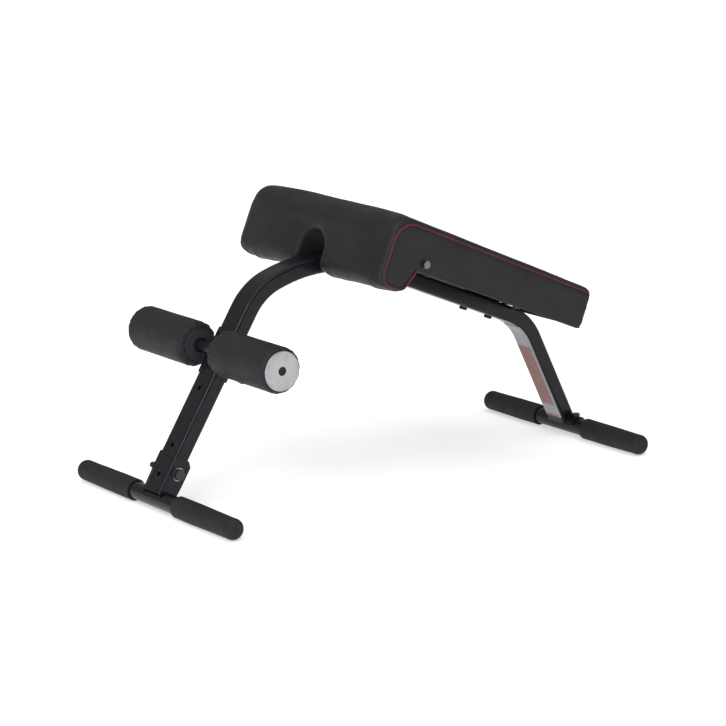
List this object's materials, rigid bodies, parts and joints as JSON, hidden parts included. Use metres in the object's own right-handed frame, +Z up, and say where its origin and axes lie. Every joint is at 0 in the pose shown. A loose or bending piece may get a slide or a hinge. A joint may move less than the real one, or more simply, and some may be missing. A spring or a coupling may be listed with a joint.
{
  "type": "decline sit up bench",
  "caption": "Compact decline sit up bench with a padded board, bent steel frame, two foot tubes and a sliding leg hold-down with foam rollers.",
  "frame": {"origin": "on the floor, midway between the two foot tubes and on the bench's centre plane", "axes": "+Y along the bench from the leg hold-down to the low end, +Z up, +X to the right of a person lying on the pad with the feet at the rollers"},
  "size_m": [0.501, 0.9704, 0.5101],
  "materials": {
    "painted": "gloss black powder paint",
    "zinc": "bright zinc plated steel",
    "dark_steel": "black oxide steel",
    "foam": "matt charcoal cover over foam",
    "grip": "matt moulded rubber",
    "plastic": "matt black plastic",
    "disc": "satin silver plate",
    "vinyl": "grained charcoal vinyl over foam",
    "piping": "dark red vinyl piping",
    "wood": "plywood",
    "label": "printed film"
  },
  "bodies": {
    "frame": {"front_frame_tube": "painted", "rear_leg_tube": "painted", "rail_coupler": "painted", "rail_joint_bolts": "dark_steel", "rail_joint_nuts": "zinc", "front_foot_tube": "painted", "rear_foot_tube": "painted", "front_grip_left": "grip", "front_grip_right": "grip", "rear_grip_left": "grip", "rear_grip_right": "grip", "front_foot_plate_left": "painted", "front_foot_plate_right": "painted", "front_foot_bolt": "dark_steel", "front_foot_washers": "zinc", "front_foot_nut": "dark_steel", "rear_foot_saddle": "painted", "rear_saddle_bolts": "dark_steel", "pad_board": "wood", "pad_cushion": "vinyl", "pad_bracket_front": "painted", "pad_bracket_rear": "painted", "pad_bolts": "dark_steel", "pad_tee_nuts": "zinc", "pad_side_bolts": "zinc", "pad_side_washers": "zinc", "leg_label": "label"},
    "carriage": {"carriage_sleeve": "painted", "cross_tube_gussets": "painted", "roller_cross_tube": "painted", "roller_stop_collars": "painted", "cross_tube_plugs": "plastic", "roller_washers": "zinc", "roller_screws": "dark_steel", "pin_housing": "painted", "pull_pin_spring": "zinc"},
    "pull_pin": {"pull_pin": "zinc", "pull_pin_knob": "plastic"},
    "roller_left": {"roller_core_left": "plastic", "roller_inner_flange_left": "plastic", "foam_roller_left": "foam", "roller_end_disc_left": "disc"},
    "roller_right": {"roller_core_right": "plastic", "roller_inner_flange_right": "plastic", "foam_roller_right": "foam", "roller_end_disc_right": "disc"}
  },
  "joints": [
    {"name": "carriage_slide", "type": "slide", "parent": "frame", "child": "carriage", "axis": [0, 0.5225, 0.8526], "range_m": [-0.1107, 0]},
    {"name": "pull_pin_slide", "type": "slide", "parent": "carriage", "child": "pull_pin", "axis": [0, -0.8526, 0.5225], "range_m": [0, 0.008]},
    {"name": "roller_left_spin", "type": "hinge", "parent": "carriage", "child": "roller_left", "pos_m": [-0.13, -0.34859, 0.27419], "axis": [1, 0, 0], "continuous": true},
    {"name": "roller_right_spin", "type": "hinge", "parent": "carriage", "child": "roller_right", "pos_m": [0.13, -0.34859, 0.27419], "axis": [1, 0, 0], "continuous": true}
  ]
}
